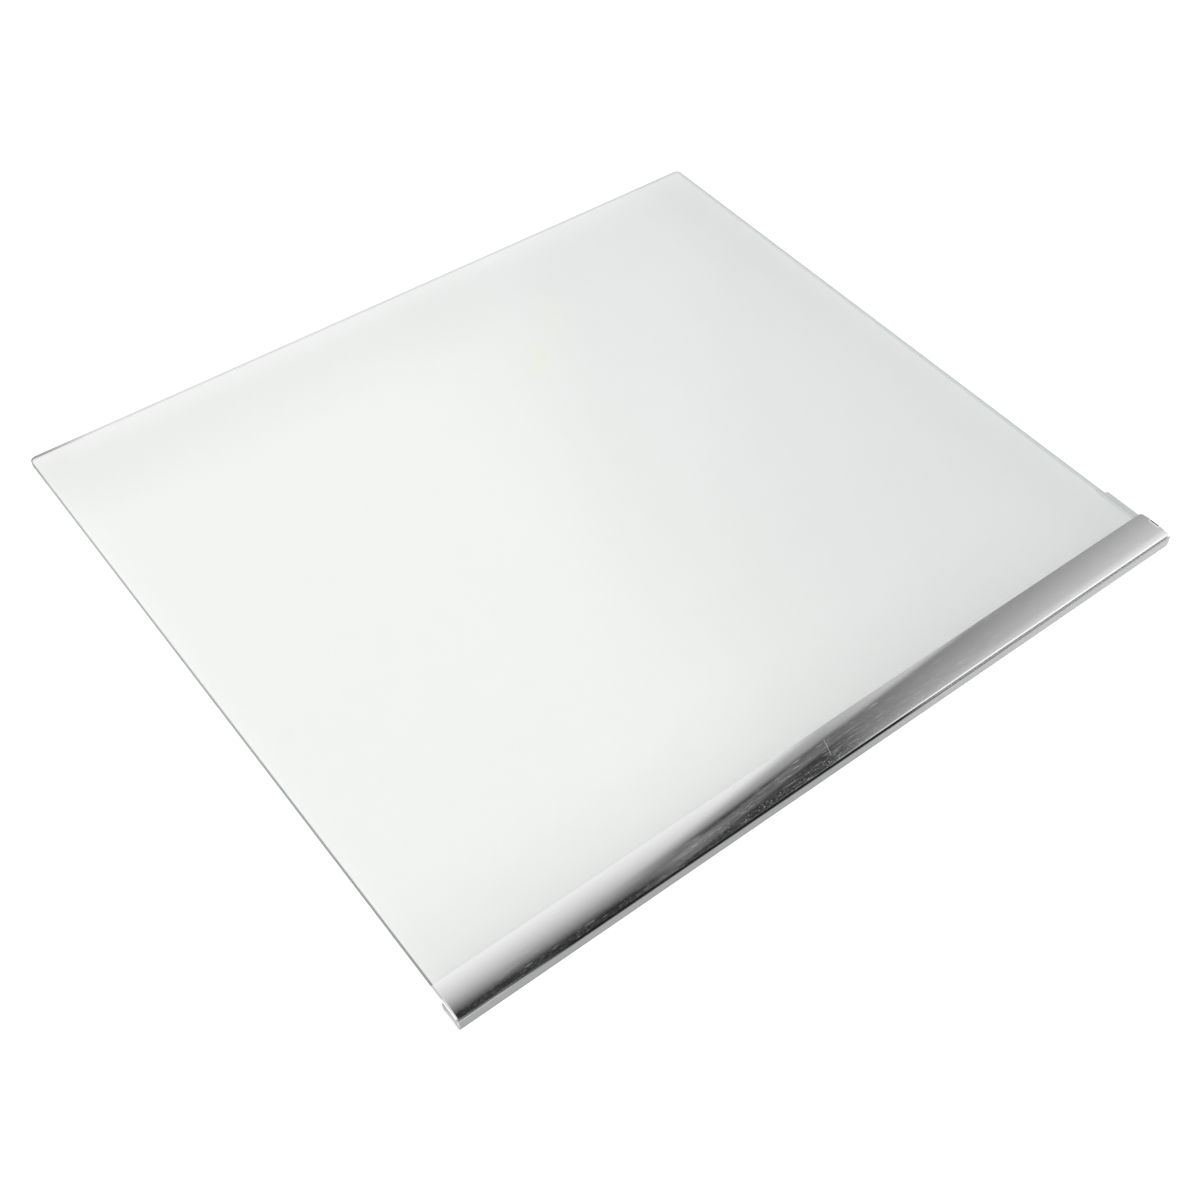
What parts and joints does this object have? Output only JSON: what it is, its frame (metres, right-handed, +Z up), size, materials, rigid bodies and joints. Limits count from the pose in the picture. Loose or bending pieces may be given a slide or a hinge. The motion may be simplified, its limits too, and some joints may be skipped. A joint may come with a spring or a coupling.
{
  "type": "refrigerator glass shelf",
  "caption": "Flat tempered glass refrigerator shelf with a bright convex front trim over a satin grey moulding that grips the glass edge.",
  "frame": {"origin": "middle of the underside of the whole shelf: half-way along the trim, half-way from front to back, at the foot of the trim", "axes": "+X along the front trim to the right, +Y from the trim to the back edge of the glass, +Z up out of the glass"},
  "size_m": [0.48, 0.426, 0.0092],
  "materials": {
    "shelf_glass": "clear polished float glass with a faint green body tint",
    "grey_plastic": "satin light grey",
    "bright_trim": "polished bright with fine lengthwise scratches"
  },
  "bodies": {
    "root": {"glass_panel": "shelf_glass", "trim_moulding": "grey_plastic", "bright_strip": "bright_trim"}
  },
  "joints": []
}
